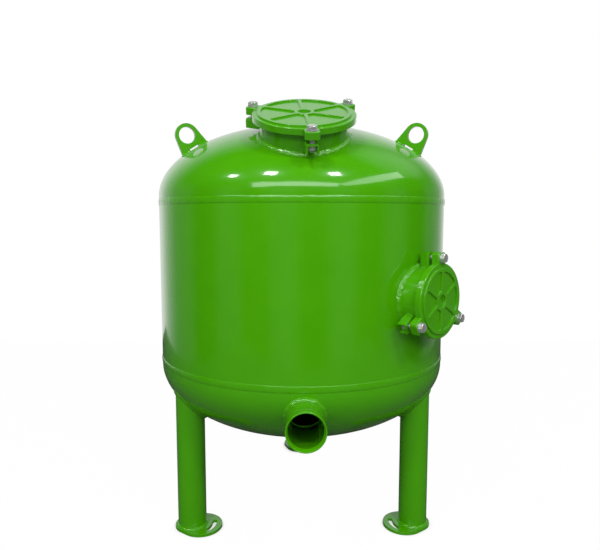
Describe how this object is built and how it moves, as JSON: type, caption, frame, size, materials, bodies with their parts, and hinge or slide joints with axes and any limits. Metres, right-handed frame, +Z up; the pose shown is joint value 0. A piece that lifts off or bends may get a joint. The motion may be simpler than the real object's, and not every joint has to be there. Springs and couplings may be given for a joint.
{
  "type": "sand filter",
  "caption": "Standing steel pressure tank that filters water through sand, with a grooved inlet and outlet, a bolted fill port, a hand hole, lifting lugs and legs with slotted feet.",
  "frame": {"origin": "on the floor, on the tank's axis, midway between the three legs", "axes": "+Z up along the tank's axis, -Y to the front, where the outlet points, +X to the right"},
  "size_m": [0.6436, 0.7273, 0.9285],
  "materials": {
    "green_enamel": "glossy baked enamel over welded steel",
    "zinc_plated_steel": "bright zinc plate",
    "black_rubber": "moulded, matte",
    "quartz_sand": "loose graded sand",
    "washed_gravel": "loose rounded gravel",
    "strainer_plastic": "moulded plastic"
  },
  "bodies": {
    "tank": {"deflector_plate": "green_enamel", "deflector_rods": "green_enamel", "fill_neck": "green_enamel", "fill_neck_weld": "green_enamel", "fill_nut_brackets": "green_enamel", "fill_nuts": "zinc_plated_steel", "floor_plate": "green_enamel", "floor_plate_bars": "green_enamel", "floor_plate_weld": "green_enamel", "front_left_foot": "green_enamel", "front_left_leg": "green_enamel", "front_left_leg_head_weld": "green_enamel", "front_right_foot": "green_enamel", "front_right_leg": "green_enamel", "front_right_leg_head_weld": "green_enamel", "gravel_layer": "washed_gravel", "hatch_neck": "green_enamel", "hatch_neck_weld": "green_enamel", "hatch_nut_brackets": "green_enamel", "hatch_nuts": "zinc_plated_steel", "inlet_pipe": "green_enamel", "inlet_weld": "green_enamel", "left_lifting_lug": "green_enamel", "left_lifting_lug_weld": "green_enamel", "leg_foot_welds": "green_enamel", "long_seam_weld": "green_enamel", "lower_head": "green_enamel", "lower_seam_weld": "green_enamel", "outlet_pipe": "green_enamel", "outlet_weld": "green_enamel", "rear_foot": "green_enamel", "rear_leg": "green_enamel", "rear_leg_head_weld": "green_enamel", "rear_lifting_lug": "green_enamel", "rear_lifting_lug_weld": "green_enamel", "right_lifting_lug": "green_enamel", "right_lifting_lug_weld": "green_enamel", "sand_bed": "quartz_sand", "shell": "green_enamel", "strainer_nuts": "strainer_plastic", "strainers": "strainer_plastic", "upper_head": "green_enamel", "upper_seam_weld": "green_enamel"},
    "fill_lid": {"fill_cover": "green_enamel", "fill_gasket": "black_rubber", "fill_washers": "zinc_plated_steel"},
    "hatch_lid": {"hatch_cover": "green_enamel", "hatch_gasket": "black_rubber", "hatch_washers": "zinc_plated_steel"},
    "fill_bolt_1": {"fill_bolt_1": "zinc_plated_steel"},
    "fill_bolt_2": {"fill_bolt_2": "zinc_plated_steel"},
    "fill_bolt_3": {"fill_bolt_3": "zinc_plated_steel"},
    "hatch_bolt_1": {"hatch_bolt_1": "zinc_plated_steel"},
    "hatch_bolt_2": {"hatch_bolt_2": "zinc_plated_steel"},
    "hatch_bolt_3": {"hatch_bolt_3": "zinc_plated_steel"}
  },
  "joints": [
    {"name": "fill_lid_lift", "type": "slide", "parent": "tank", "child": "fill_lid", "axis": [0, -0.4351, 0.9004], "range_m": [0, 0.08]},
    {"name": "fill_bolt_1_turn", "type": "hinge", "parent": "fill_lid", "child": "fill_bolt_1", "pos_m": [0.01119, -0.33475, 0.81645], "axis": [0, -0.4351, 0.9004], "continuous": true},
    {"name": "fill_bolt_2_turn", "type": "hinge", "parent": "fill_lid", "child": "fill_bolt_2", "pos_m": [0.08657, -0.18231, 0.89012], "axis": [0, -0.4351, 0.9004], "continuous": true},
    {"name": "fill_bolt_3_turn", "type": "hinge", "parent": "fill_lid", "child": "fill_bolt_3", "pos_m": [-0.09775, -0.19975, 0.88169], "axis": [0, -0.4351, 0.9004], "continuous": true},
    {"name": "hatch_lid_lift", "type": "slide", "parent": "tank", "child": "hatch_lid", "axis": [0.7071, -0.7071, 0], "range_m": [0, 0.08]},
    {"name": "hatch_bolt_1_turn", "type": "hinge", "parent": "hatch_lid", "child": "hatch_bolt_1", "pos_m": [0.25951, -0.25951, 0.5925], "axis": [0.7071, -0.7071, 0], "continuous": true},
    {"name": "hatch_bolt_2_turn", "type": "hinge", "parent": "hatch_lid", "child": "hatch_bolt_2", "pos_m": [0.20929, -0.30972, 0.4695], "axis": [0.7071, -0.7071, 0], "continuous": true},
    {"name": "hatch_bolt_3_turn", "type": "hinge", "parent": "hatch_lid", "child": "hatch_bolt_3", "pos_m": [0.30972, -0.20929, 0.4695], "axis": [0.7071, -0.7071, 0], "continuous": true}
  ]
}
